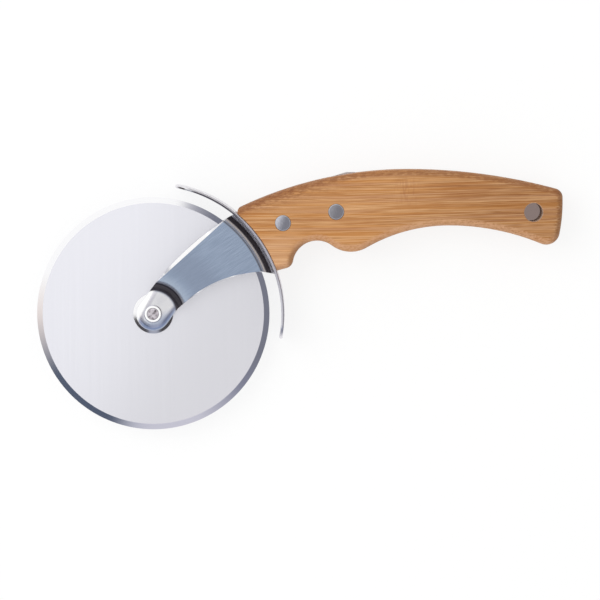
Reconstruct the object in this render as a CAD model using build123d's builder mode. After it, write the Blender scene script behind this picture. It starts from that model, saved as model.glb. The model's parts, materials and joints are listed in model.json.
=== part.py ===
"""Hand-held pizza cutter lying on its side: a bevelled steel wheel in a folded steel fork,
a curved finger guard, and a one-piece bamboo handle riveted to a steel tang.

The plan lies in XY, with the handle running along +X and its back towards +Y. +Z is the
wheel's axis. The origin is on the table, under the middle of the whole outline.
Places in the plan are measured from the wheel's axis. Those of the handle and the tang are
given as a reach along X from the outer face of the guard, and a depth below the highest
point of the handle's back.
"""

from build123d import *

import os
from math import atan2, cos, degrees, hypot, radians, sin, sqrt

# Driving dimensions, in millimetres and degrees

# Cutting wheel
wheel_diameter = 100.0
wheel_thickness = 1.0
bevel_width = 2.4
rim_thickness = 0.2

# Hub flanges, pressed into the wheel from both sides
hub_flange_diameter = 17.2
hub_flange_thickness = 0.9
hub_slope_width = 1.3
hub_slope_height = 0.7
hub_spigot_diameter = 10.0
spigot_meeting_gap = 0.1

# Axle: a spacer sleeve, a rivet with one end spread to a dished rim, and its washer
sleeve_diameter = 7.0
axle_diameter = 5.0
axle_head_diameter = 7.8
axle_head_height = 1.2
axle_head_rounding = 0.8
axle_washer_diameter = 7.6
axle_washer_thickness = 0.5
axle_washer_rounding = 0.3
axle_rim_diameter = 7.0
axle_rim_height = 0.8
axle_rim_rounding = 0.4
axle_dish_diameter = 5.3
axle_dish_depth = 0.55
axle_dish_rounding = 0.2

# Fork: one folded strip, two arms and a crown
fork_sheet = 1.5
arm_standoff = 4.6
lobe_radius = 7.3
lobe_back_angle = 141.0
lobe_front_angle = -37.0
lobe_roll_width = 2.7
lobe_roll_depth = 0.55
lobe_edge_break = 0.3
neck_back_angle = 97.0
neck_back_reach = 2.9
neck_front_angle = 12.0
neck_front_reach = 3.6
joggle_start_radius = 11.3
joggle_run = 2.2
joggle_bend_radius = 2.25
crown_bend_radius = 4.35
crown_inset_angle = 0.99
crown_span_angle = 32.8
heel_span_angle = 29.4
arm_back_bow = 2.4
arm_belly_bow = 3.3
back_facet_width = 1.7
back_facet_depth = 0.8
belly_facet_width = 0.5
belly_facet_depth = 0.4
facet_shares = (0.08, 0.93)

# Finger guard, a strip bent round the wheel's axis
guard_gap = 5.1
guard_thickness = 1.4
guard_width = 20.0
guard_low_angle = -10.9
guard_high_angle = 79.9
guard_corner_radius = 6.0
guard_edge_rounding = 0.5
guard_edge_share = 0.45

# Handle outline
handle_thickness = 20.0
handle_roundover = 3.6
handle_length = 119.0
tail_depth = 14.1
tail_bow_radius = 70.0
tail_back_rounding = 3.9
tail_belly_rounding = 5.8
back_crest_reach = 53.0
back_crest_height = 62.1
back_front_radius = 167.7
back_rear_radius = 246.0
belly_crest_reach = 70.5
belly_crest_depth = 24.0
belly_rear_radius = 103.0
bump_reach = 28.4
bump_depth = 35.3
bump_radius = 13.5
groove_reach = 14.0
groove_depth = 30.5
quillon_turn = 3.0
quillon_lean = 15.0
quillon_softening = 0.2
front_corner_rounding = 1.9

# Hanging hole through the tail of the handle
hanging_hole_inset = 12.6
hanging_hole_depth = 18.3
hanging_hole_diameter = 8.0
hanging_hole_rounding = 0.3

# Tang, a flat plate whose tenon passes through the guard and the crown
tang_thickness = 2.0
tang_reach = 31.1
tang_proud = 0.85
tang_sunk = 0.4
tang_rise_length = 12.4
tang_flat_length = 4.6
tang_inset_angle = 4.99
tang_span_angle = 21.5
tang_shoulder_reach = -10.0
tang_knee_reach = 3.0
tang_knee_depth = 28.7
tang_tail_depth = 24.7
tang_corner_radius = 1.2
tenon_height = 13.0
tenon_stub = 0.5

# Two-piece rivets through the handle and the tang, as reach and depth
rivet_places = {"front": (-0.65, 22.9), "rear": (22.1, 18.1)}
rivet_head_diameter = 6.8
rivet_head_height = 1.3
rivet_head_rounding = 0.3
rivet_tube_diameter = 5.2
rivet_bore_diameter = 3.5
rivet_end_gap = 1.0

# Clearances
run_gap = 0.05
side_gap = 0.2
seat_gap = 0.05
press_gap = 0.02
overrun = 2.0

# Derived places

wheel_radius = wheel_diameter / 2
guard_inner_radius = wheel_radius + guard_gap
guard_outer_radius = guard_inner_radius + guard_thickness
handle_front_radius = guard_outer_radius + seat_gap
handle_end_x = guard_outer_radius + handle_length
half_handle = handle_thickness / 2

wheel_x = (wheel_radius - handle_end_x) / 2
wheel_y = (wheel_radius - back_crest_height) / 2
mid_plane = Plane(origin=(wheel_x, wheel_y, half_handle))
section_plane = Plane(origin=mid_plane.origin, x_dir=(1, 0, 0), z_dir=(0, -1, 0))
wheel_axis = Axis(mid_plane.origin, (0, 0, 1))

flange_face = wheel_thickness / 2 + hub_flange_thickness
lobe_inner = flange_face + side_gap
lobe_outer = lobe_inner + fork_sheet
arm_outer = arm_standoff + fork_sheet
crown_radius = guard_inner_radius
crown_bend_outer = crown_bend_radius + fork_sheet / 2
washer_top = lobe_outer + axle_washer_thickness


def polar(radius, angle):
    """Point of the plan at a radius and an angle round the wheel's axis."""
    return (radius * cos(radians(angle)), radius * sin(radians(angle)))


def hollow_radius(crest, bump_center, bump_size):
    """Radius of a hollow with a level crest that runs smoothly into a round bump."""
    across = bump_center[0] - crest[0]
    rise = bump_center[1] - crest[1]
    return (across**2 + rise**2 - bump_size**2) / (2 * (bump_size - rise))


def crossing(center, radius, other_center, other_radius):
    """Crossing of two circles that lies to the left of the way from the first to the second."""
    distance = hypot(other_center[0] - center[0], other_center[1] - center[1])
    along = (distance**2 + radius**2 - other_radius**2) / (2 * distance)
    aside = sqrt(radius**2 - along**2)
    unit_x = (other_center[0] - center[0]) / distance
    unit_y = (other_center[1] - center[1]) / distance
    return (
        center[0] + along * unit_x - aside * unit_y,
        center[1] + along * unit_y + aside * unit_x,
    )


def toward(start, goal, distance):
    """Point at a distance from one point on the way to another."""
    length = hypot(goal[0] - start[0], goal[1] - start[1])
    share = distance / length
    return (start[0] + (goal[0] - start[0]) * share, start[1] + (goal[1] - start[1]) * share)


def arc_about(center, start, end):
    """Arc round a centre, the shorter way from start to end, on the current line."""
    middle = ((start[0] + end[0]) / 2, (start[1] + end[1]) / 2)
    radius = hypot(start[0] - center[0], start[1] - center[1])
    return ThreePointArc(start, toward(center, middle, radius), end)


def handle_point(reach, depth):
    """Point of the handle, back from the guard and down from the top of the handle's back."""
    return (guard_outer_radius + reach, back_crest_height - depth)


# Handle outline: the back in two arcs, the bowed tail, and the belly with its finger groove
axis_point = (0, 0)
back_crest = handle_point(back_crest_reach, 0)
belly_crest = handle_point(belly_crest_reach, belly_crest_depth)
groove_crest = handle_point(groove_reach, groove_depth)
bump_bottom = handle_point(bump_reach, bump_depth)
bump_center = (bump_bottom[0], bump_bottom[1] + bump_radius)
belly_front_radius = hollow_radius(belly_crest, bump_center, bump_radius)
groove_radius = hollow_radius(groove_crest, bump_center, bump_radius)
groove_center = (groove_crest[0], groove_crest[1] - groove_radius)
belly_front_center = (belly_crest[0], belly_crest[1] - belly_front_radius)
belly_rear_center = (belly_crest[0], belly_crest[1] - belly_rear_radius)
back_rear_center = (back_crest[0], back_crest[1] - back_rear_radius)
back_front_center = (back_crest[0], back_crest[1] - back_front_radius)
tail_center = (handle_end_x - tail_bow_radius, back_crest_height - tail_depth)

bump_rear = toward(bump_center, belly_front_center, bump_radius)
bump_front = toward(bump_center, groove_center, bump_radius)
quillon = (
    groove_center[0] - groove_radius * cos(radians(quillon_turn)),
    groove_center[1] - groove_radius * sin(radians(quillon_turn)),
)
quillon_reach = hypot(*quillon) - handle_front_radius + 2 * overrun
quillon_front = (
    quillon[0] - quillon_reach * cos(radians(quillon_lean)),
    quillon[1] - quillon_reach * sin(radians(quillon_lean)),
)
back_front = crossing(
    axis_point, handle_front_radius - 2 * overrun, back_front_center, back_front_radius
)
tail_top = crossing(tail_center, tail_bow_radius, back_rear_center, back_rear_radius)
tail_bottom = crossing(tail_center, tail_bow_radius, belly_rear_center, belly_rear_radius)
rivet_centers = {name: handle_point(*place) for name, place in rivet_places.items()}

# The upper front corner of the handle, below which the crown and the tang start
front_corner = crossing(axis_point, handle_front_radius, back_front_center, back_front_radius)
front_corner_angle = degrees(atan2(front_corner[1], front_corner[0]))
crown_high_angle = front_corner_angle - crown_inset_angle
crown_low_angle = crown_high_angle - crown_span_angle
heel_angle = crown_high_angle - heel_span_angle
tang_high_angle = front_corner_angle - tang_inset_angle
tang_low_angle = tang_high_angle - tang_span_angle

# The slot for the tang's tenon, through the crown and the guard
tenon_angle = (tang_low_angle + tang_high_angle) / 2
tenon_plane = mid_plane.rotated((0, 0, tenon_angle))
tenon_slot_plane = tenon_plane.offset(-tang_thickness / 2 - seat_gap)
tenon_slot_height = tenon_height + 2 * seat_gap
tenon_slot_thickness = tang_thickness + 2 * seat_gap


def back_height(x):
    """Height of the handle's back, ahead of its crest."""
    across = x - back_front_center[0]
    return back_front_center[1] + sqrt(back_front_radius**2 - across**2)


# Cutting wheel: a thin disc, bevelled on both sides to its edge
with BuildPart() as cutting_wheel:
    with BuildSketch(section_plane):
        with BuildLine():
            hub = hub_spigot_diameter / 2 + press_gap
            Polyline(
                (hub, -wheel_thickness / 2),
                (wheel_radius - bevel_width, -wheel_thickness / 2),
                (wheel_radius, -rim_thickness / 2),
                (wheel_radius, rim_thickness / 2),
                (wheel_radius - bevel_width, wheel_thickness / 2),
                (hub, wheel_thickness / 2),
                close=True,
            )
        make_face()
    revolve(axis=wheel_axis)
cutting_wheel.part.label = "cutting_wheel"


# Hub flanges: a collar on each side of the wheel, with a spigot in the wheel's bore
with BuildPart() as hub_flange_front:
    with BuildSketch(mid_plane.offset(wheel_thickness / 2)):
        Circle(hub_flange_diameter / 2)
    extrude(amount=hub_flange_thickness)
    flange_top = hub_flange_front.faces().sort_by(Axis.Z)[-1]
    chamfer(
        flange_top.edges(), length=hub_slope_width, length2=hub_slope_height, reference=flange_top
    )
    with BuildSketch(mid_plane.offset(spigot_meeting_gap / 2)):
        Circle(hub_spigot_diameter / 2)
    extrude(amount=wheel_thickness / 2)
    with BuildSketch(mid_plane):
        Circle(sleeve_diameter / 2 + run_gap)
    extrude(amount=flange_face + overrun, mode=Mode.SUBTRACT)
hub_flange_front.part.label = "hub_flange_front"

with BuildPart() as hub_flange_back:
    add(mirror(hub_flange_front.part, about=mid_plane, mode=Mode.PRIVATE))
hub_flange_back.part.label = "hub_flange_back"


# Axle sleeve: keeps the lobes apart, and the wheel turns on it
with BuildPart() as axle_sleeve:
    with BuildSketch(mid_plane.offset(-lobe_inner)):
        Circle(sleeve_diameter / 2)
        Circle(axle_diameter / 2 + seat_gap, mode=Mode.SUBTRACT)
    extrude(amount=2 * lobe_inner)
axle_sleeve.part.label = "axle_sleeve"


# Axle rivet: a head behind, and in front an end spread over the washer, with a dish in it
with BuildPart() as axle_rivet:
    with BuildSketch(mid_plane.offset(-lobe_outer)):
        Circle(axle_head_diameter / 2)
    extrude(amount=-axle_head_height)
    head_rim = axle_rivet.edges().filter_by(GeomType.CIRCLE).group_by(Axis.Z)[0]
    fillet(head_rim, radius=axle_head_rounding)
    with BuildSketch(mid_plane.offset(-lobe_outer)):
        Circle(axle_diameter / 2)
    extrude(amount=lobe_outer + washer_top)
    with BuildSketch(mid_plane.offset(washer_top)):
        Circle(axle_rim_diameter / 2)
    extrude(amount=axle_rim_height)
    spread_rim = axle_rivet.edges().filter_by(GeomType.CIRCLE).group_by(Axis.Z)[-1]
    fillet(spread_rim, radius=axle_rim_rounding)
    with BuildSketch(mid_plane.offset(washer_top + axle_rim_height)):
        Circle(axle_dish_diameter / 2)
    extrude(amount=-axle_dish_depth, mode=Mode.SUBTRACT)
    top_edges = axle_rivet.edges().filter_by(GeomType.CIRCLE).group_by(Axis.Z)[-1]
    fillet(top_edges.sort_by(SortBy.RADIUS)[0], radius=axle_dish_rounding)
axle_rivet.part.label = "axle_rivet"

with BuildPart() as axle_washer:
    with BuildSketch(mid_plane.offset(lobe_outer)):
        Circle(axle_washer_diameter / 2)
    extrude(amount=axle_washer_thickness)
    washer_rim = axle_washer.edges().filter_by(GeomType.CIRCLE).group_by(Axis.Z)[-1]
    fillet(washer_rim, radius=axle_washer_rounding)
    with BuildSketch(mid_plane.offset(lobe_outer)):
        Circle(axle_diameter / 2 + seat_gap)
    extrude(amount=axle_washer_thickness + overrun, mode=Mode.SUBTRACT)
axle_washer.part.label = "axle_washer"


# Fork: the sheet's section is turned about the wheel's axis, then cut to the outline
joggle_end_radius = joggle_start_radius + joggle_run
joggle_foot_radius = joggle_start_radius - joggle_bend_radius / 2
lobe_middle = lobe_inner + fork_sheet / 2
arm_middle = arm_standoff + fork_sheet / 2
web_middle = crown_radius - fork_sheet / 2

lobe_low = polar(lobe_radius, lobe_front_angle)
lobe_high = polar(lobe_radius, lobe_back_angle)
lobe_far = polar(lobe_radius, (lobe_front_angle + lobe_back_angle) / 2 + 180)
neck_back = polar(lobe_radius + neck_back_reach, neck_back_angle)
neck_front = polar(lobe_radius + neck_front_reach, neck_front_angle)
crown_high = polar(crown_radius, crown_high_angle)
crown_low = polar(crown_radius, crown_low_angle)
heel = polar(crown_radius - crown_bend_outer, heel_angle)
back_edge = SagittaArc(neck_back, crown_high, arm_back_bow, mode=Mode.PRIVATE)
belly_edge = SagittaArc(heel, neck_front, -arm_belly_bow, mode=Mode.PRIVATE)
half_fork = arm_outer + overrun


def lobe_rim(pad):
    """Top edges of a pad, along the lobe's round end and its two flanks."""
    top_edges = pad.faces().sort_by(Axis.Z)[-1].edges()
    round_edge = top_edges.filter_by(GeomType.CIRCLE)[0]
    return top_edges.filter_by(
        lambda edge: edge == round_edge or edge.distance_to(round_edge) < seat_gap
    )


# The rolled rim of the lobe: an arc that drops by the roll's depth over its width, and a
# broken edge that goes on down from the roll
lobe_roll_radius = (lobe_roll_width**2 + lobe_roll_depth**2) / (2 * lobe_roll_depth)
lobe_pad_plane = mid_plane.offset(lobe_outer - lobe_roll_radius - overrun)
lobe_edge_depth = lobe_roll_depth + lobe_edge_break

with BuildSketch() as lobe_outline:
    with BuildLine():
        ThreePointArc(lobe_low, lobe_far, lobe_high)
        far_high = toward(lobe_high, neck_back, 2 * joggle_end_radius)
        far_low = toward(lobe_low, neck_front, 2 * joggle_end_radius)
        Polyline(lobe_high, far_high, far_low, lobe_low)
    make_face()

with BuildPart() as lobe_edge_pad:
    with BuildSketch(lobe_pad_plane):
        add(lobe_outline.sketch)
    extrude(amount=lobe_roll_radius + overrun)
    chamfer(lobe_rim(lobe_edge_pad), length=lobe_edge_depth)

with BuildPart() as lobe_pad:
    with BuildSketch(lobe_pad_plane):
        add(lobe_outline.sketch)
        offset(amount=lobe_roll_radius - lobe_roll_width, kind=Kind.INTERSECTION)
    extrude(amount=lobe_roll_radius + overrun)
    fillet(lobe_rim(lobe_pad), radius=lobe_roll_radius)
    add(lobe_edge_pad.part, mode=Mode.INTERSECT)

with BuildPart() as lobe_trim:
    with BuildSketch(mid_plane.offset(lobe_outer - lobe_edge_depth)):
        Circle(joggle_foot_radius)
    extrude(amount=lobe_edge_depth + overrun)
    add(lobe_pad.part, mode=Mode.SUBTRACT)


def arm_facet(edge, width, depth):
    """Cutter for the facet ground along an edge of the arm, which dies out at both ends."""
    start = edge @ facet_shares[0]
    middle = edge @ (sum(facet_shares) / 2)
    end = edge @ facet_shares[1]
    chord = end - start
    side = Vector(-chord.Y, chord.X).normalized()
    away = side * lobe_radius
    with BuildPart() as cutter:
        for height, inset in ((arm_outer - depth, 0), (arm_outer, width)):
            with BuildSketch(mid_plane.offset(height)):
                with BuildLine():
                    ThreePointArc(start, middle - side * inset, end)
                    Polyline(end, end + away, start + away, start)
                make_face()
        loft(ruled=True)
    return cutter.part


back_facet = arm_facet(back_edge, back_facet_width, back_facet_depth)
belly_facet = arm_facet(belly_edge, belly_facet_width, belly_facet_depth)


with BuildPart() as fork:
    with BuildSketch(section_plane):
        with BuildLine():
            sheet_line = FilletPolyline(
                (axle_diameter / 4, lobe_middle),
                (joggle_start_radius, lobe_middle),
                (joggle_end_radius, arm_middle),
                (web_middle, arm_middle),
                (web_middle, -arm_middle),
                (joggle_end_radius, -arm_middle),
                (joggle_start_radius, -lobe_middle),
                (axle_diameter / 4, -lobe_middle),
                radius=(
                    joggle_bend_radius,
                    joggle_bend_radius,
                    crown_bend_radius,
                    crown_bend_radius,
                    joggle_bend_radius,
                    joggle_bend_radius,
                ),
            )
            offset(sheet_line, amount=fork_sheet / 2)
        make_face()
    revolve(axis=wheel_axis)
    with BuildSketch(mid_plane.offset(-half_fork)):
        with BuildLine():
            ThreePointArc(lobe_low, lobe_far, lobe_high)
            Line(lobe_high, neck_back)
            add(back_edge)
            Polyline(
                crown_high,
                polar(crown_radius + overrun, crown_high_angle),
                polar(crown_radius + overrun, crown_low_angle),
                crown_low,
                heel,
            )
            add(belly_edge)
            Line(neck_front, lobe_low)
        make_face()
    extrude(amount=2 * half_fork, mode=Mode.INTERSECT)
    for cutter in (lobe_trim.part, back_facet, belly_facet):
        add(cutter, mode=Mode.SUBTRACT)
        add(mirror(cutter, about=mid_plane, mode=Mode.PRIVATE), mode=Mode.SUBTRACT)
    with BuildSketch(mid_plane):
        Circle(axle_diameter / 2 + seat_gap)
    extrude(amount=half_fork, both=True, mode=Mode.SUBTRACT)
    with BuildSketch(tenon_slot_plane):
        with Locations((web_middle, 0)):
            Rectangle(fork_sheet + 2 * overrun, tenon_slot_height)
    extrude(amount=tenon_slot_thickness, mode=Mode.SUBTRACT)
fork.part.label = "fork"


# Finger guard: a curved strip with rounded corners, slotted for the tang's tenon
with BuildPart() as guard:
    with BuildSketch(mid_plane.offset(-guard_width / 2)):
        with BuildLine():
            for radius in (guard_inner_radius, guard_outer_radius):
                CenterArc((0, 0), radius, guard_low_angle, guard_high_angle - guard_low_angle)
            for tip in (guard_low_angle, guard_high_angle):
                Line(polar(guard_inner_radius, tip), polar(guard_outer_radius, tip))
        make_face()
    extrude(amount=guard_width)
    tip_edges = guard.edges().filter_by(GeomType.LINE).filter_by(Axis.Z, reverse=True)
    fillet(tip_edges, radius=guard_corner_radius)
    fillet(guard.edges(), radius=min(guard_edge_rounding, guard_thickness * guard_edge_share))
    with BuildSketch(tenon_slot_plane):
        with Locations((guard_inner_radius + guard_thickness / 2, 0)):
            Rectangle(guard_thickness + 2 * overrun, tenon_slot_height)
    extrude(amount=tenon_slot_thickness, mode=Mode.SUBTRACT)
guard.part.label = "guard"


# Tang outline, from the guard's outer face back to its rounded end
tang_end_x = guard_outer_radius + tang_reach
tang_flat_x = tang_end_x - tang_flat_length
tang_rise_x = tang_flat_x - tang_rise_length
tang_shoulder_x = guard_outer_radius + tang_shoulder_reach
tang_flat_height = back_height(tang_flat_x) + tang_proud
tang_knee = handle_point(tang_knee_reach, tang_knee_depth)
tang_tail = handle_point(tang_reach, tang_tail_depth)
tang_front_low = polar(guard_outer_radius, tang_low_angle)
tang_front_high = polar(guard_outer_radius, tang_high_angle)

with BuildPart() as tang:
    with BuildSketch(mid_plane.offset(-tang_thickness / 2)):
        with BuildLine():
            arc_about(axis_point, tang_front_low, tang_front_high)
            shoulder = (tang_shoulder_x, back_height(tang_shoulder_x) - tang_sunk)
            rise = (tang_rise_x, back_height(tang_rise_x) - tang_sunk)
            Line(tang_front_high, shoulder)
            arc_about(back_front_center, shoulder, rise)
            Polyline(
                rise,
                (tang_flat_x, tang_flat_height),
                (tang_end_x, tang_flat_height),
                tang_tail,
                tang_knee,
                tang_front_low,
            )
        make_face()
        fillet(vertices().sort_by(Axis.X)[-2:], radius=tang_corner_radius)
    extrude(amount=tang_thickness)
    with BuildSketch(tenon_plane.offset(-tang_thickness / 2)):
        tenon_front = crown_radius - fork_sheet - tenon_stub
        tenon_length = guard_outer_radius + overrun - tenon_front
        with Locations((tenon_front + tenon_length / 2, 0)):
            Rectangle(tenon_length, tenon_height)
    extrude(amount=tang_thickness)
    with BuildSketch(mid_plane):
        with Locations(*rivet_centers.values()):
            Circle(rivet_tube_diameter / 2 + seat_gap)
    extrude(amount=tang_thickness, both=True, mode=Mode.SUBTRACT)
tang.part.label = "tang"


# Handle: one piece of bamboo, rounded over all round and cut to the guard's curve
with BuildPart() as handle_front:
    rounding_center = crossing(
        axis_point,
        handle_front_radius + front_corner_rounding,
        back_front_center,
        back_front_radius - front_corner_rounding,
    )
    with BuildSketch(mid_plane):
        with BuildLine():
            Polyline(
                toward(rounding_center, axis_point, front_corner_rounding),
                toward(rounding_center, front_corner, 2 * overrun + front_corner_rounding),
                toward(back_front_center, rounding_center, back_front_radius),
                close=True,
            )
        make_face()
        with Locations(rounding_center):
            Circle(front_corner_rounding, mode=Mode.SUBTRACT)
        Circle(handle_front_radius)
    extrude(amount=half_handle + overrun, both=True)

with BuildPart() as handle:
    with BuildSketch(mid_plane.offset(-half_handle)):
        with BuildLine():
            arc_about(back_front_center, back_front, back_crest)
            arc_about(back_rear_center, back_crest, tail_top)
            arc_about(tail_center, tail_top, tail_bottom)
            arc_about(belly_rear_center, tail_bottom, belly_crest)
            arc_about(belly_front_center, belly_crest, bump_rear)
            arc_about(bump_center, bump_rear, bump_front)
            arc_about(groove_center, bump_front, quillon)
            Polyline(quillon, quillon_front, back_front)
        make_face()
        fillet(vertices().sort_by_distance(tail_top)[0], radius=tail_back_rounding)
        fillet(vertices().sort_by_distance(tail_bottom)[0], radius=tail_belly_rounding)
        quillon_rounding = handle_roundover + quillon_softening
        fillet(vertices().sort_by_distance(quillon)[0], radius=quillon_rounding)
    extrude(amount=handle_thickness)
    # All round both faces, but for the two foremost edges, which the guard's curve cuts away
    rounded = handle.edges().filter_by(Axis.Z, reverse=True).sort_by(Axis.X)
    fillet(rounded[2:], radius=handle_roundover)
    add(handle_front.part, mode=Mode.SUBTRACT)
    # The slot for the tang is open along the back, as far as the tang's end
    with BuildSketch(mid_plane.offset(-tang_thickness / 2 - seat_gap)):
        with BuildLine():
            top = back_crest_height + overrun
            Polyline(
                tang_tail,
                tang_knee,
                tang_front_low,
                axis_point,
                (0, top),
                (tang_end_x, top),
                close=True,
            )
        make_face()
        offset(amount=seat_gap)
    extrude(amount=tang_thickness + 2 * seat_gap, mode=Mode.SUBTRACT)
    with BuildSketch(mid_plane):
        with Locations(*rivet_centers.values()):
            Circle(rivet_tube_diameter / 2 + seat_gap)
    extrude(amount=half_handle + overrun, both=True, mode=Mode.SUBTRACT)
    for side in (1, -1):
        with BuildSketch(mid_plane.offset(side * half_handle)):
            with Locations(*rivet_centers.values()):
                Circle(rivet_head_diameter / 2 + seat_gap)
        extrude(amount=-side * rivet_head_height, mode=Mode.SUBTRACT)
    with BuildSketch(mid_plane):
        with Locations((handle_end_x - hanging_hole_inset, back_crest_height - hanging_hole_depth)):
            Circle(hanging_hole_diameter / 2)
    extrude(amount=half_handle + overrun, both=True, mode=Mode.SUBTRACT)
    hole_rims = handle.edges().filter_by(GeomType.CIRCLE).filter_by(
        lambda edge: abs(edge.radius - hanging_hole_diameter / 2) < seat_gap
    )
    fillet(hole_rims, radius=hanging_hole_rounding)
handle.part.label = "handle"


# Handle rivets: a tube with its head below, and a post with its head above
rivets = {}
head_seat = half_handle - rivet_head_height
for place, center in rivet_centers.items():
    with BuildPart() as tube:
        with BuildSketch(mid_plane.offset(-half_handle)):
            with Locations(center):
                Circle(rivet_head_diameter / 2)
        extrude(amount=rivet_head_height)
        outer_rim = tube.edges().filter_by(GeomType.CIRCLE).group_by(Axis.Z)[0]
        fillet(outer_rim, radius=rivet_head_rounding)
        with BuildSketch(mid_plane.offset(-head_seat)):
            with Locations(center):
                Circle(rivet_tube_diameter / 2)
                Circle(rivet_bore_diameter / 2, mode=Mode.SUBTRACT)
        extrude(amount=2 * head_seat - rivet_end_gap)
    tube.part.label = f"{place}_rivet_tube"
    with BuildPart() as post:
        with BuildSketch(mid_plane.offset(half_handle)):
            with Locations(center):
                Circle(rivet_head_diameter / 2)
        extrude(amount=-rivet_head_height)
        outer_rim = post.edges().filter_by(GeomType.CIRCLE).group_by(Axis.Z)[-1]
        fillet(outer_rim, radius=rivet_head_rounding)
        with BuildSketch(mid_plane.offset(head_seat)):
            with Locations(center):
                Circle(rivet_bore_diameter / 2 - press_gap)
        extrude(amount=-2 * head_seat + rivet_end_gap)
    post.part.label = f"{place}_rivet_post"
    rivets[place] = (tube, post)


# Every piece in its own file
os.makedirs("parts", exist_ok=True)
pieces = [
    cutting_wheel,
    hub_flange_front,
    hub_flange_back,
    axle_sleeve,
    axle_rivet,
    axle_washer,
    fork,
    guard,
    tang,
    handle,
    *rivets["front"],
    *rivets["rear"],
]
for piece in pieces:
    export_step(piece.part, f"parts/{piece.part.label}.step")
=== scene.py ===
"""Looks of the pizza cutter: steel and bamboo finishes, a pale studio and the camera.

Lengths are in metres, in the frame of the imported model: +X runs along the handle, +Y to the
back of the handle, and +Z is the wheel's axis. Inside the materials, places, radii and sizes
of textures are in millimetres, and bearings are degrees from +X in the plan.
"""

import json
from functools import reduce
from math import cos, degrees, radians, sin

import bpy
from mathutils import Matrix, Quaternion, Vector


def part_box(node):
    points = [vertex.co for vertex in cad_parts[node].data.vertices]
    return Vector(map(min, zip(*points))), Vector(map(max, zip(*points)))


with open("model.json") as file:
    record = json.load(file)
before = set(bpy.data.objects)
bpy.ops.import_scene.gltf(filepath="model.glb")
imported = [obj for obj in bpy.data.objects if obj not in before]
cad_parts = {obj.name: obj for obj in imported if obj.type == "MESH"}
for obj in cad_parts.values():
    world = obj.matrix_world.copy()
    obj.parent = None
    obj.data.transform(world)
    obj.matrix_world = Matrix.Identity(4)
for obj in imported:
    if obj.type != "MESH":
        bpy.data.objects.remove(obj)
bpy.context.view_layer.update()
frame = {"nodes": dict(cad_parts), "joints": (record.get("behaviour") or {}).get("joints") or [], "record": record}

MM = 0.001

# The photograph's view: the wheel's centre and the point below the lens, in its pixels
photo_pixels = 600
mm_per_pixel = 0.4303
wheel_pixel = (153.3, 313.5)
below_lens_pixel = (300.0, 114.0)
camera_height = 1.5
sensor_width = 36.0

nodes = frame["nodes"]
wheel_center = Vector(frame["joints"][0]["pos_m"])
mounts = {mount["name"]: mount for mount in frame["record"]["mounts"]}
hole_center = Vector(mounts["hanging_hole"]["pos_m"])

# The handle's back is two arcs that meet at its highest point
back_crest_reach = 109.5
back_arc_radius = 200.0
handle_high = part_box("handle")[1]
back_crest = Vector((wheel_center.x + back_crest_reach * MM, handle_high[1]))

# Radii about the wheel's axis between which one finish gives way to the next, in millimetres;
# some also bound painted reflections and shade
lobe_to_joggle = (9.2, 10.2)
joggle_from = (9.3, 10.3)
joggle_to = (13.2, 15.2)
bevel_from = (47.5, 47.7)
crown_from = (51.0, 52.5)
guard_inner_to_outer = (55.7, 56.0)

# Painted dark lines and painted highlight bands of the fork, as radii from and to
painted_white_edge_band = (41, 48.5)
crown_line = (49.9, 50.4)
crown_dark_band = (51.8, 53.95)
crown_seam = (54.5, 54.95)


def place_at_pixel(across, down):
    """Point of the wheel's mid plane that the photograph shows at a pixel."""
    offset_x = (across - wheel_pixel[0]) * mm_per_pixel * MM
    offset_y = (wheel_pixel[1] - down) * mm_per_pixel * MM
    return wheel_center + Vector((offset_x, offset_y, 0))


def srgb(red, green, blue):
    """Shader colour of a screen colour, given in the range 0 to 255."""
    channels = []
    for value in (red, green, blue):
        share = value / 255
        linear = share / 12.92 if share <= 0.04045 else ((share + 0.055) / 1.055) ** 2.4
        channels.append(linear)
    return (*channels, 1.0)


def grey(value):
    """Shader colour of a grey of the screen."""
    return srgb(value, value, value)


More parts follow.
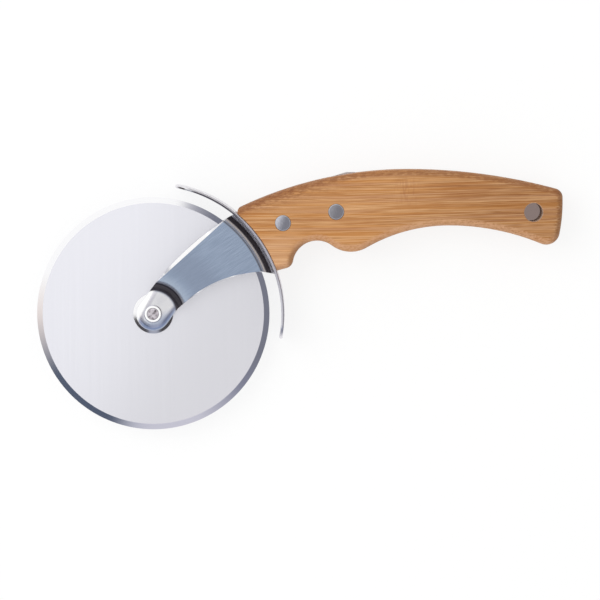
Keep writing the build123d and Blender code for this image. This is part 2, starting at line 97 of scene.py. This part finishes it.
class Graph:
    """Short ways to build a node tree."""

    def __init__(self, tree):
        self.tree = tree
        tree.nodes.clear()

    def add(self, kind, **settings):
        """New node, with settings such as its operation."""
        node = self.tree.nodes.new(kind)
        for name, value in settings.items():
            setattr(node, name, value)
        return node

    def plug(self, socket, value):
        """Links a socket to another node's output, or sets its value."""
        if isinstance(value, bpy.types.NodeSocket):
            self.tree.links.new(value, socket)
        else:
            socket.default_value = value

    def math(self, operation, *values, clamp=False):
        node = self.add("ShaderNodeMath", operation=operation, use_clamp=clamp)
        for socket, value in zip(node.inputs, values):
            self.plug(socket, value)
        return node.outputs[0]

    def plus(self, *values):
        return reduce(lambda total, value: self.math("ADD", total, value), values)

    def times(self, *values):
        return reduce(lambda total, value: self.math("MULTIPLY", total, value), values)

    def minus(self, first, second):
        return self.math("SUBTRACT", first, second)

    def step(self, value, low, high, out_low=0.0, out_high=1.0):
        """Smooth step of a value from low to high."""
        node = self.add("ShaderNodeMapRange", interpolation_type="SMOOTHSTEP")
        for name, setting in (
            ("Value", value),
            ("From Min", low),
            ("From Max", high),
            ("To Min", out_low),
            ("To Max", out_high),
        ):
            self.plug(node.inputs[name], setting)
        return node.outputs["Result"]

    def below(self, value, low, high):
        """1 where a value lies below low, falling smoothly to 0 at high."""
        return self.step(value, high, low)

    def window(self, value, low, high, soft):
        """1 where a value lies between low and high, softly 0 outside."""
        rising = self.step(value, low - soft, low + soft)
        return self.times(rising, self.below(value, high - soft, high + soft))

    def mix(self, factor, first, second, blend="MIX"):
        """Mix of two colours."""
        node = self.add("ShaderNodeMix", data_type="RGBA", blend_type=blend)
        self.plug(node.inputs["Factor"], factor)
        for socket, value in zip([s for s in node.inputs if s.type == "RGBA"], (first, second)):
            self.plug(socket, value)
        return next(s for s in node.outputs if s.type == "RGBA")

    def tint(self, color, tint, mask, amount):
        """The colour, mixed with a tint by a mask times an amount."""
        return self.mix(self.times(mask, amount), color, tint)

    def split(self, vector):
        node = self.add("ShaderNodeSeparateXYZ")
        self.plug(node.inputs[0], vector)
        return node.outputs

    def join(self, x, y, z):
        node = self.add("ShaderNodeCombineXYZ")
        for socket, value in zip(node.inputs, (x, y, z)):
            self.plug(socket, value)
        return node.outputs[0]

    def cells(self, vector, size):
        """The vector in cells of a size in millimetres, along X, Y and Z."""
        node = self.add("ShaderNodeVectorMath", operation="DIVIDE")
        self.plug(node.inputs[0], vector)
        node.inputs[1].default_value = size
        return node.outputs[0]

    def noise(self, vector, size, detail=2.0, roughness=0.5):
        """Noise from 0 to 1, with cells of a size in millimetres."""
        node = self.add("ShaderNodeTexNoise")
        self.plug(node.inputs["Vector"], self.cells(vector, size))
        node.inputs["Scale"].default_value = 1.0
        node.inputs["Detail"].default_value = detail
        node.inputs["Roughness"].default_value = roughness
        return node.outputs[0]

    def rings(self, radius, width, detail=3.0):
        """Noise in rings of a width in millimetres, as turning or pressing leaves them."""
        return self.noise(self.join(radius, 0.0, 0.0), (width, 1, 1), detail=detail)

    def ramp(self, factor, *stops):
        """Colour ramp through stops, each a place and a colour."""
        node = self.add("ShaderNodeValToRGB")
        elements = node.color_ramp.elements
        while len(elements) < len(stops):
            elements.new(1.0)
        for element, (place, color) in zip(elements, stops):
            element.position = place
            element.color = color
        self.plug(node.inputs[0], factor)
        return node.outputs[0]


def millimetres(graph):
    """The object's own coordinates, in millimetres."""
    coordinates = graph.add("ShaderNodeTexCoord").outputs["Object"]
    node = graph.add("ShaderNodeVectorMath", operation="SCALE")
    graph.plug(node.inputs[0], coordinates)
    node.inputs["Scale"].default_value = 1 / MM
    return node.outputs[0]


def surface_normal(graph):
    """X, Y and Z of the object's own surface normal."""
    return graph.split(graph.add("ShaderNodeTexCoord").outputs["Normal"])


def centered(graph, vector, center):
    """X, Y and Z of a vector in millimetres, with X and Y counted from a centre."""
    x, y, z = graph.split(vector)
    return graph.minus(x, center.x / MM), graph.minus(y, center.y / MM), z


def turned(graph, vector, bearing, center):
    """Coordinates turned about a centre, so that X runs along a bearing of the plan."""
    x, y, z = centered(graph, vector, center)
    cosine, sine = cos(radians(bearing)), sin(radians(bearing))
    along = graph.plus(graph.times(x, cosine), graph.times(y, sine))
    across = graph.minus(graph.times(y, cosine), graph.times(x, sine))
    return graph.join(along, across, z)


def reach(graph, vector, bearing, center):
    """How far a place lies from a centre along a bearing of the plan."""
    along, _, _ = graph.split(turned(graph, vector, bearing, center))
    return along


def radius_about(graph, vector, center):
    """Distance from an axis along Z through a centre, in millimetres."""
    x, y, _ = centered(graph, vector, center)
    return graph.math("SQRT", graph.plus(graph.times(x, x), graph.times(y, y)))


def depth_below_back(graph, x, y):
    """Depth below the handle's curved back, in millimetres."""
    aside = graph.minus(x, back_crest.x / MM)
    sag = graph.math("DIVIDE", graph.times(aside, aside), 2 * back_arc_radius)
    return graph.minus(graph.minus(back_crest.y / MM, sag), y)


def facing_up(graph, low=0.985, high=0.998):
    """1 on flat faces square to the wheel's axis, and 0 on bends and edges."""
    _, _, upward = surface_normal(graph)
    return graph.step(graph.math("ABSOLUTE", upward), low, high)


def new_material(name):
    material = bpy.data.materials.new(name)
    material.use_nodes = True
    return material, Graph(material.node_tree)


def finish_material(graph, color, roughness, height, depth_mm, metallic=0.0, specular=0.5):
    """Principled shader with a bump of a depth in millimetres."""
    bump = graph.add("ShaderNodeBump")
    bump.inputs["Strength"].default_value = 1.0
    bump.inputs["Distance"].default_value = depth_mm * MM
    graph.plug(bump.inputs["Height"], height)
    shader = graph.add("ShaderNodeBsdfPrincipled")
    for name, value in (
        ("Base Color", color),
        ("Roughness", roughness),
        ("Metallic", metallic),
        ("Specular IOR Level", specular),
        ("Normal", bump.outputs[0]),
    ):
        graph.plug(shader.inputs[name], value)
    output = graph.add("ShaderNodeOutputMaterial")
    graph.plug(output.inputs["Surface"], shader.outputs[0])
    return shader


def wear(node_names, material):
    """Gives the material to CAD nodes."""
    for name in node_names:
        node = nodes[name]
        node.data.materials.clear()
        node.data.materials.append(material)


def bamboo():
    """Oiled bamboo: thin straight strips along the handle, paler fibres and dark bundles."""
    material, graph = new_material("bamboo")
    place = millimetres(graph)
    x, y, z = graph.split(place)
    depth = depth_below_back(graph, x, y)
    side_x, side_y, _ = surface_normal(graph)

    # The cane runs straight past the rivets and rises a little towards the tail
    wander, straight_until, rise_slope = 0.8, 18, -0.027
    drift = graph.noise(place, (60, 20, 20), detail=1.0)
    drift = graph.times(graph.minus(drift, 0.5), wander)
    rise = graph.times(graph.math("MAXIMUM", graph.minus(x, straight_until), 0.0), rise_slope)
    fibre = graph.join(x, graph.plus(y, graph.plus(drift, rise)), z)

    # Three sizes of grain, fainter between the rivets and stronger towards the tail
    strips = graph.noise(fibre, (220, 2.6, 5.0), detail=1.0)
    lines = graph.noise(fibre, (70, 0.5, 1.3), detail=3.0, roughness=0.68)
    threads = graph.noise(fibre, (9, 0.3, 0.5), detail=2.0)
    grain = graph.plus(
        graph.times(lines, 0.56), graph.times(threads, 0.36), graph.times(strips, 0.26)
    )
    grain_mean, tone_mean = 0.59, 0.53
    strength = graph.plus(graph.step(x, 5, 55, 0.58, 0.72), graph.step(x, 60, 90, 0.0, 0.28))
    tone = graph.plus(graph.times(graph.minus(grain, grain_mean), strength), tone_mean)
    color = graph.ramp(
        tone,
        (0.40, srgb(152, 98, 52)),
        (0.49, srgb(181, 127, 77)),
        (0.56, srgb(199, 147, 97)),
        (0.66, srgb(224, 176, 127)),
    )

    # Single fibres stand out crisply, pale or orange
    fibres = graph.noise(fibre, (36, 0.38, 0.8), detail=2.0)
    color = graph.mix(graph.step(fibres, 0.54, 0.62, 0.0, 0.5), color, srgb(234, 188, 140))
    color = graph.mix(graph.step(fibres, 0.46, 0.38, 0.0, 0.5), color, srgb(170, 104, 48))

    # Some strips are more orange or more pink than their neighbours
    warmth = graph.noise(fibre, (120, 1.5, 3.0), detail=2.0)
    color = graph.mix(graph.step(warmth, 0.52, 0.64, 0.0, 0.5), color, srgb(192, 128, 62))
    color = graph.mix(graph.step(warmth, 0.48, 0.36, 0.0, 0.35), color, srgb(186, 136, 104))

    # Bundles of fibre show as thin dark dashes, and as dots where the surface cuts across them
    bundles = graph.add("ShaderNodeTexVoronoi")
    graph.plug(bundles.inputs["Vector"], graph.cells(fibre, (13, 0.7, 0.7)))
    bundles.inputs["Scale"].default_value = 1.0
    dash = graph.below(bundles.outputs["Distance"], 0.12, 0.32)
    color = graph.tint(color, srgb(140, 84, 42), dash, 0.26)

    # The wood turns browner towards the tail, and redder in its upper rear part
    color = graph.mix(graph.step(x, 20, 95), color, srgb(233, 232, 231), blend="MULTIPLY")
    red = graph.times(graph.window(x, 56, 92, 14), graph.window(depth, 2.5, 11, 3.5))
    patches = graph.noise(fibre, (22, 1.6, 3.0), detail=2.0)
    red = graph.times(red, graph.step(patches, 0.36, 0.6, 0.2, 1.0))
    color = graph.mix(red, color, srgb(236, 222, 206), blend="MULTIPLY")

    # It is palest round the finger stop, below the front rivet
    finger_stop = graph.times(graph.below(x, -8, 6), graph.step(depth, 17, 25))
    color = graph.tint(color, srgb(228, 184, 144), finger_stop, 0.28)

    # A node of the cane crosses the upper half as faint upright marks
    knuckle = graph.times(graph.window(x, 42, 50, 4), graph.window(depth, 4, 14, 3))
    upright = graph.noise(place, (0.9, 6, 4), detail=2.0)
    knuckle = graph.times(knuckle, graph.step(upright, 0.46, 0.6, 0.0, 0.3))
    color = graph.mix(knuckle, color, srgb(150, 92, 60))

    # The rounded edge along the back is darker, in mottles: partly the cane's skin, partly painted shade
    skin_and_shade = graph.times(graph.step(side_y, 0.08, 0.5), graph.step(side_y, 1.0, 0.85, 0.5, 1.0))
    mottle = graph.noise(place, (2.2, 1.1, 1.1), detail=3.0, roughness=0.6)
    skin_and_shade = graph.times(skin_and_shade, graph.step(mottle, 0.34, 0.6, 0.45, 1.0))
    color = graph.tint(color, srgb(136, 84, 46), skin_and_shade, 0.72)

    # The same darker tone, partly skin and partly painted shade, speckles the front end of the flat side, under
    # the back
    front = graph.times(graph.below(x, -8, 30), graph.below(depth, 3.0, 10.0))
    speckle = graph.noise(fibre, (2.6, 0.8, 0.8), detail=3.0, roughness=0.65)
    front = graph.times(front, graph.step(speckle, 0.38, 0.62, 0.15, 1.0))
    color = graph.tint(color, srgb(130, 78, 46), front, 0.72)

    # The rounded edge along the belly is paler and freckled, its paleness partly painted light, and the tail's end
    # is dark, partly painted shade
    freckles = graph.noise(place, (1.1, 0.8, 0.8), detail=3.0, roughness=0.65)
    belly_freckles_and_light = graph.below(side_y, -0.4, -0.08)
    belly_freckles_and_light = graph.times(belly_freckles_and_light, graph.step(freckles, 0.38, 0.6, 0.2, 0.75))
    color = graph.mix(belly_freckles_and_light, color, srgb(212, 162, 124))
    color = graph.tint(color, srgb(124, 78, 42), graph.step(side_x, 0.15, 0.7), 0.55)

    # The hanging hole is bored through fresh, unoiled wood
    fresh = graph.below(radius_about(graph, place, hole_center), 4.03, 4.1)
    color = graph.mix(fresh, color, srgb(206, 180, 160))

    height = graph.plus(graph.times(threads, 0.6), graph.times(lines, 0.6))
    height = graph.minus(height, graph.times(dash, 0.4))
    roughness = graph.step(lines, 0.3, 0.7, 0.62, 0.5)
    finish_material(graph, color, roughness, height, 0.04, specular=0.3)
    return material


def brushed_fork():
    """Fork: brushed arms of a bluish grey, with polished lobes, bends and ground edges."""
    material, graph = new_material("fork_steel")
    place = millimetres(graph)
    radius = radius_about(graph, place, wheel_center)
    lines = graph.noise(turned(graph, place, 31, wheel_center), (12, 0.24, 0.24), detail=3.0)
    scratches = graph.noise(turned(graph, place, 37, wheel_center), (7, 0.3, 0.3), detail=2.0)

    # Painted reflection: the arm's face is palest beside the lobe, and deepest a little further out
    rubbed = graph.plus(graph.times(lines, 0.6), graph.times(scratches, 0.4))
    arm = graph.ramp(rubbed, (0.36, srgb(150, 166, 189)), (0.64, srgb(174, 189, 211)))
    arm = graph.tint(arm, srgb(201, 215, 232), graph.below(radius, 14, 19), 0.55)
    painted_deep_reflection = graph.times(graph.step(radius, 17, 22), graph.below(radius, 27, 36))
    arm = graph.tint(arm, srgb(144, 156, 178), painted_deep_reflection, 0.5)
    bends = graph.ramp(lines, (0.35, srgb(250, 249, 250)), (0.65, grey(255)))

    # The lobe is polished; a painted reflection makes it bluer towards the belly, and painted
    # shade makes it greyer beside its painted white highlight on the left
    clouds = graph.noise(place, (5, 5, 5), detail=3.0)
    lobe = graph.ramp(clouds, (0.3, srgb(236, 236, 240)), (0.7, srgb(249, 249, 250)))
    bellyward = reach(graph, place, -70, wheel_center)
    lobe = graph.mix(graph.step(bellyward, -0.5, 4.5, 0.0, 0.8), lobe, srgb(182, 194, 216))
    leftward = reach(graph, place, 153, wheel_center)
    lobe = graph.tint(lobe, srgb(207, 205, 217), graph.window(leftward, 2.6, 4.2, 0.6), 0.6)

    # The press has left the joggle dull; its dark colour, in fine rings, is a painted dark reflection
    joggle_ring_noise = graph.rings(radius, 0.45, detail=2.0)
    joggle = graph.ramp(joggle_ring_noise, (0.4, srgb(66, 62, 66)), (0.62, srgb(112, 108, 114)))
    dull_painted_dark_joggle = graph.times(graph.step(radius, *joggle_from), graph.below(radius, *joggle_to))

    # Two thin bands of painted dark reflection cross the crown's bend
    painted_crown_bands = graph.window(radius, *crown_dark_band, soft=0.4)
    painted_crown_bands = graph.plus(painted_crown_bands, graph.window(radius, *crown_line, soft=0.4))

    flat = facing_up(graph)
    on_lobe = graph.below(radius, *lobe_to_joggle)
    # Painted highlight: a white glare on the left part of the lobe
    painted_glare = graph.times(graph.step(leftward, 3.9, 4.8), on_lobe)
    color = graph.mix(flat, bends, arm)
    color = graph.mix(dull_painted_dark_joggle, color, joggle)
    color = graph.mix(painted_crown_bands, color, srgb(96, 90, 92))
    color = graph.mix(on_lobe, color, lobe)
    color = graph.mix(painted_glare, color, grey(255))

    pressed = graph.plus(dull_painted_dark_joggle, graph.step(radius, *crown_from))
    roughness = graph.plus(graph.times(lines, 0.12), 0.14, graph.times(pressed, 0.15))

    # The lobe's white highlight, the crown's seam and the arm's long edge on the back side, up to
    # the crown, are partly not metallic, so their near-white colour is a painted highlight
    side_x, side_y, _ = surface_normal(graph)
    backward = graph.minus(graph.times(side_y, 0.8), graph.times(side_x, 0.6))
    painted_white_edge = graph.times(
        graph.step(backward, 0.2, 0.4), graph.window(radius, *painted_white_edge_band, soft=1.5)
    )
    painted_seam_highlight = graph.window(radius, *crown_seam, soft=0.2)
    painted_highlight_share = graph.times(graph.plus(painted_glare, painted_seam_highlight, painted_white_edge), 0.6)
    metal = graph.minus(1.0, graph.plus(painted_highlight_share, graph.times(flat, 0.2)))
    finish_material(graph, color, roughness, rubbed, 0.001, metallic=metal)
    return material


def blade_steel():
    """Wheel: mirror polished, with the faintest straight marks of the last rubbing."""
    material, graph = new_material("blade_steel")
    place = millimetres(graph)
    radius = radius_about(graph, place, wheel_center)
    rubbing = graph.noise(place, (0.7, 60, 4), detail=3.0, roughness=0.6)
    clouds = graph.noise(place, (30, 30, 30), detail=2.0)
    grinding = graph.rings(radius, 0.18)
    face = graph.ramp(rubbing, (0.3, srgb(239, 239, 246)), (0.7, srgb(241, 241, 248)))
    bevel = graph.ramp(grinding, (0.3, srgb(244, 244, 247)), (0.7, grey(255)))
    bevelled = graph.step(radius, *bevel_from)
    color = graph.mix(bevelled, face, bevel)
    marks = graph.times(grinding, bevelled)
    roughness = graph.plus(graph.times(clouds, 0.03), 0.07)
    # The face is a little hazy, so that it isn't black where it mirrors a dark wall
    metal = graph.step(radius, *bevel_from, 0.75, 1.0)
    finish_material(graph, color, roughness, marks, 0.0004, metallic=metal)
    return material


def satin_steel(graph, marks, dark, light, rough, depth):
    """Finishes plain steel, from dark to light along its marks."""
    color = graph.ramp(marks, (0.3, dark), (0.7, light))
    roughness = graph.plus(graph.times(marks, 0.1), rough)
    finish_material(graph, color, roughness, marks, depth, metallic=1.0)


def turned_steel(name, dark, light, rough):
    """Steel with turning marks round the wheel's axis."""
    material, graph = new_material(name)
    radius = radius_about(graph, millimetres(graph), wheel_center)
    satin_steel(graph, graph.rings(radius, 0.22), dark, light, rough, 0.002)
    return material


def tang_steel():
    """Tang: satin, with marks along its edge."""
    material, graph = new_material("tang_steel")
    marks = graph.noise(millimetres(graph), (6, 0.4, 0.4), detail=4.0, roughness=0.6)
    satin_steel(graph, marks, srgb(206, 203, 204), srgb(228, 225, 226), 0.25, 0.002)
    return material


def peened_steel():
    """Axle rivet: a bright turned rim round an end that the riveting has left uneven, with painted light and shade
    in its dish.
    """
    material, graph = new_material("axle_steel")
    place = millimetres(graph)
    radius = radius_about(graph, place, wheel_center)
    marks = graph.rings(radius, 0.22)
    rim = graph.ramp(marks, (0.3, srgb(250, 250, 251)), (0.7, grey(255)))
    dents_and_painted_shade = graph.noise(place, (1.1, 1.1, 1.1), detail=2.0, roughness=0.6)
    # The end's mottled light and dark is painted light and shade of its dish, over the dents of its bump
    end = graph.ramp(
        dents_and_painted_shade,
        (0.36, srgb(110, 102, 104)),
        (0.44, srgb(196, 188, 192)),
        (0.56, srgb(226, 217, 222)),
        (0.66, srgb(250, 245, 247)),
    )
    inside = graph.below(radius, 2.45, 2.7)
    color = graph.mix(inside, rim, end)
    # Painted shade: a dark ring at the edge of the dish
    color = graph.tint(color, grey(110), graph.window(radius, 2.3, 2.55, 0.15), 0.5)
    height = graph.times(dents_and_painted_shade, inside)
    finish_material(graph, color, 0.36, height, 0.12, metallic=graph.times(inside, 0.7))
    return material


def guard_steel():
    """Guard: polished faces, and ground edges with painted shade that darkens them towards the upper tip."""
    material, graph = new_material("guard_steel")
    place = millimetres(graph)
    marks = graph.noise(place, (8, 8, 0.5), detail=4.0)
    face = graph.ramp(marks, (0.3, srgb(222, 220, 226)), (0.7, srgb(240, 238, 242)))

    # Along the guard, from its lower tip to its upper one, in shares of 100 degrees
    x, y, _ = centered(graph, place, wheel_center)
    bearing = graph.math("ARCTAN2", y, x)
    along = graph.plus(graph.math("DIVIDE", bearing, radians(100)), 0.15)
    pale, painted_shade, white = srgb(222, 218, 226), srgb(122, 116, 122), grey(252)
    # Painted light and shade along the ground edges: the inner edge turns dark towards the upper tip, then shows a
    # painted white line and a dark tip, and the outer edge turns whiter
    inner_edge = graph.ramp(
        along,
        (0.2, srgb(240, 239, 243)),
        (0.58, pale),
        (0.66, painted_shade),
        (0.86, painted_shade),
        (0.88, white),
        (0.9, white),
        (0.91, srgb(84, 78, 78)),
    )
    outer_pale = srgb(226, 223, 230)
    outer_edge = graph.ramp(
        along,
        (0.2, srgb(212, 210, 216)),
        (0.3, outer_pale),
        (0.58, outer_pale),
        (0.66, srgb(250, 248, 250)),
    )
    radius = radius_about(graph, place, wheel_center)
    edge = graph.mix(graph.step(radius, *guard_inner_to_outer), inner_edge, outer_edge)
    color = graph.mix(facing_up(graph, 0.4, 0.8), face, edge)
    roughness = graph.plus(graph.times(marks, 0.1), 0.28)
    finish_material(graph, color, roughness, marks, 0.002, metallic=1.0)
    return material


def rivet_steel(name, node_name, painted_lit, painted_shaded):
    """Head of a handle rivet: brushed, with a painted highlight on its rim, painted light on its front side and
    painted shade on the other.
    """
    material, graph = new_material(name)
    place = millimetres(graph)
    low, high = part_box(node_name)
    center = (Vector(low) + Vector(high)) / 2
    marks = graph.noise(place, (0.5, 1.6, 0.5), detail=3.0)
    x, y, _ = centered(graph, place, center)
    lean = graph.minus(x, graph.times(y, 0.4))
    lean = graph.plus(lean, graph.times(graph.minus(marks, 0.5), 3.0))
    # Painted light and shade across the head, lit on its front side
    color = graph.mix(graph.step(lean, -3.2, 1.0), painted_lit, painted_shaded)
    # Painted highlight along the rim
    rim = graph.step(radius_about(graph, place, center), 2.8, 3.1, 0.0, 0.6)
    color = graph.mix(rim, color, srgb(221, 221, 227))
    roughness = graph.plus(graph.times(marks, 0.1), 0.3)
    finish_material(graph, color, roughness, marks, 0.006, metallic=0.75)
    return material


wear(["handle"], bamboo())
wear(["fork"], brushed_fork())
wear(["cutting_wheel"], blade_steel())
wear(["guard"], guard_steel())
wear(["tang"], tang_steel())
wear(
    ["hub_flange_front", "hub_flange_back", "axle_sleeve"],
    turned_steel("hub_steel", srgb(246, 245, 247), grey(255), 0.16),
)
wear(["axle_rivet"], peened_steel())
wear(
    ["axle_washer"],
    turned_steel("washer_steel", srgb(200, 200, 208), srgb(232, 232, 238), 0.18),
)
# Each rivet head has its own painted lit and shaded tones; the rear one is painted darker
for end, painted_lit, painted_shaded in (
    ("front", srgb(224, 225, 234), srgb(145, 145, 154)),
    ("rear", srgb(170, 169, 174), srgb(144, 142, 148)),
):
    post, tube = f"{end}_rivet_post", f"{end}_rivet_tube"
    wear([post, tube], rivet_steel(f"{end}_rivet_steel", post, painted_lit, painted_shaded))


def studio_world():
    """White studio. Gloss sees cards and flags round the table, in rings about the zenith."""
    world = bpy.data.worlds.new("studio")
    bpy.context.scene.world = world
    world.use_nodes = True
    graph = Graph(world.node_tree)
    x, y, z = graph.split(graph.add("ShaderNodeTexCoord").outputs["Generated"])
    tilt = graph.times(graph.math("ARCCOSINE", z), degrees(1))
    turn = graph.math("DIVIDE", graph.math("ARCTAN2", y, x), radians(360))
    share = graph.math("FRACT", graph.plus(turn, 1.0))

    white = grey(255)
    flag = srgb(80, 89, 108)
    wall = srgb(118, 120, 133)
    card = srgb(201, 200, 212)
    sky = srgb(168, 178, 202)
    sand = srgb(180, 170, 162)
    soot = srgb(50, 46, 48)
    dusk = srgb(160, 164, 180)
    pale_wall = srgb(196, 197, 203)

    def ring(*stops):
        """Colours round the zenith, each at its bearing in degrees."""
        return graph.ramp(share, *((bearing / 360, color) for bearing, color in stops))

    inner_ring = ring(
        (0, wall), (60, wall), (74, srgb(170, 170, 180)), (82, white), (170, white),
        (188, srgb(234, 224, 220)), (205, srgb(160, 159, 166)), (215, flag), (246, flag),
        (256, srgb(186, 187, 200)), (263, card), (284, card), (309, srgb(130, 132, 150)),
        (325, wall),
    )
    middle_ring = ring(
        (0, sand), (70, sand), (82, white), (190, white), (216, sky), (318, sky), (340, sand),
    )
    outer_ring = ring(
        (0, soot), (72, soot), (84, white), (188, white), (200, soot), (250, soot), (258, dusk),
        (280, dusk), (288, soot),
    )

    # Straight above, the ceiling falls off a little towards the lower right
    slope = graph.plus(graph.times(x, -0.866), graph.times(y, 0.5))
    ceiling = graph.mix(
        graph.step(slope, -0.008, 0.022), srgb(215, 214, 213), srgb(248, 248, 248)
    )

    # Each ring begins at a tilt from the zenith, in degrees
    seen = ceiling
    for low, high, colors in (
        (7, 9, inner_ring),
        (26, 29, middle_ring),
        (43, 47, outer_ring),
        (68, 73, pale_wall),
    ):
        seen = graph.mix(graph.step(tilt, low, high), seen, colors)

    path = graph.add("ShaderNodeLightPath").outputs
    soft = graph.mix(path["Is Glossy Ray"], grey(236), seen)
    color = graph.mix(path["Is Camera Ray"], soft, white)
    background = graph.add("ShaderNodeBackground")
    graph.plug(background.inputs["Color"], color)
    background.inputs["Strength"].default_value = 1.0
    output = graph.add("ShaderNodeOutputWorld")
    graph.plug(output.inputs["Surface"], background.outputs[0])


def pale_floor():
    """A plain white floor under the cutter."""
    half = 3.0
    mesh = bpy.data.meshes.new("studio_floor")
    corners = [(-half, -half, 0), (half, -half, 0), (half, half, 0), (-half, half, 0)]
    mesh.from_pydata(corners, [], [(0, 1, 2, 3)])
    floor = bpy.data.objects.new("studio_floor", mesh)
    bpy.context.scene.collection.objects.link(floor)

    material, graph = new_material("studio_white")
    place = millimetres(graph)
    paper = graph.noise(place, (3, 3, 3), detail=2.0)
    color = graph.ramp(paper, (0.3, grey(251)), (0.7, grey(253)))
    shader = finish_material(graph, color, 0.9, paper, 0.01, specular=0.0)

    # The paper shows mostly as plain white, so the shadow on it is a light one; under the hanging
    # hole, where the wood shuts it in, a painted brownish shadow darkens it
    plain_share = 0.82
    painted_hole_shadow = graph.below(radius_about(graph, place, hole_center), 5.0, 6.0)
    glow = graph.add("ShaderNodeEmission")
    graph.plug(glow.inputs["Color"], graph.mix(painted_hole_shadow, grey(255), srgb(143, 127, 123)))
    path = graph.add("ShaderNodeLightPath").outputs
    watched = graph.math("ADD", path["Is Camera Ray"], path["Is Glossy Ray"], clamp=True)
    blend = graph.add("ShaderNodeMixShader")
    for socket, value in zip(
        blend.inputs, (graph.times(watched, plain_share), shader.outputs[0], glow.outputs[0])
    ):
        graph.plug(socket, value)
    output = graph.tree.nodes["Material Output"]
    graph.plug(output.inputs["Surface"], blend.outputs[0])
    mesh.materials.append(material)


def soft_lamp(name, bearing, tilt, distance, power, width):
    """Square lamp that looks at the object, hidden from gloss, which sees the studio alone."""
    data = bpy.data.lights.new(name, "AREA")
    data.size = width
    data.energy = power
    lamp = bpy.data.objects.new(name, data)
    bpy.context.scene.collection.objects.link(lamp)
    level = distance * sin(radians(tilt))
    lamp.location = (
        level * cos(radians(bearing)),
        level * sin(radians(bearing)),
        distance * cos(radians(tilt)),
    )
    lamp.rotation_euler = (-lamp.location).to_track_quat("-Z", "Y").to_euler()
    lamp.visible_glossy = False


def photo_camera():
    """Camera of the photograph, which looks down on the cutter from beyond its back."""
    data = bpy.data.cameras.new("photo_camera")
    camera = bpy.data.objects.new("photo_camera", data)
    bpy.context.scene.collection.objects.link(camera)
    target = place_at_pixel(photo_pixels / 2, photo_pixels / 2)
    camera.location = place_at_pixel(*below_lens_pixel) + Vector((0, 0, camera_height))
    sight = target - camera.location
    # The lens looks back towards the belly, so the picture is turned to have the back on top
    half_turn = Quaternion((0, 0, 1), radians(180))
    camera.rotation_euler = (sight.to_track_quat("-Z", "Y") @ half_turn).to_euler()
    data.sensor_width = sensor_width
    data.lens = sensor_width * sight.length / (photo_pixels * mm_per_pixel * MM)
    bpy.context.scene.camera = camera


studio_world()
pale_floor()
soft_lamp("key_lamp", bearing=150, tilt=40, distance=1.6, power=9.0, width=1.2)
photo_camera()

bpy.context.scene.view_settings.view_transform = "Standard"
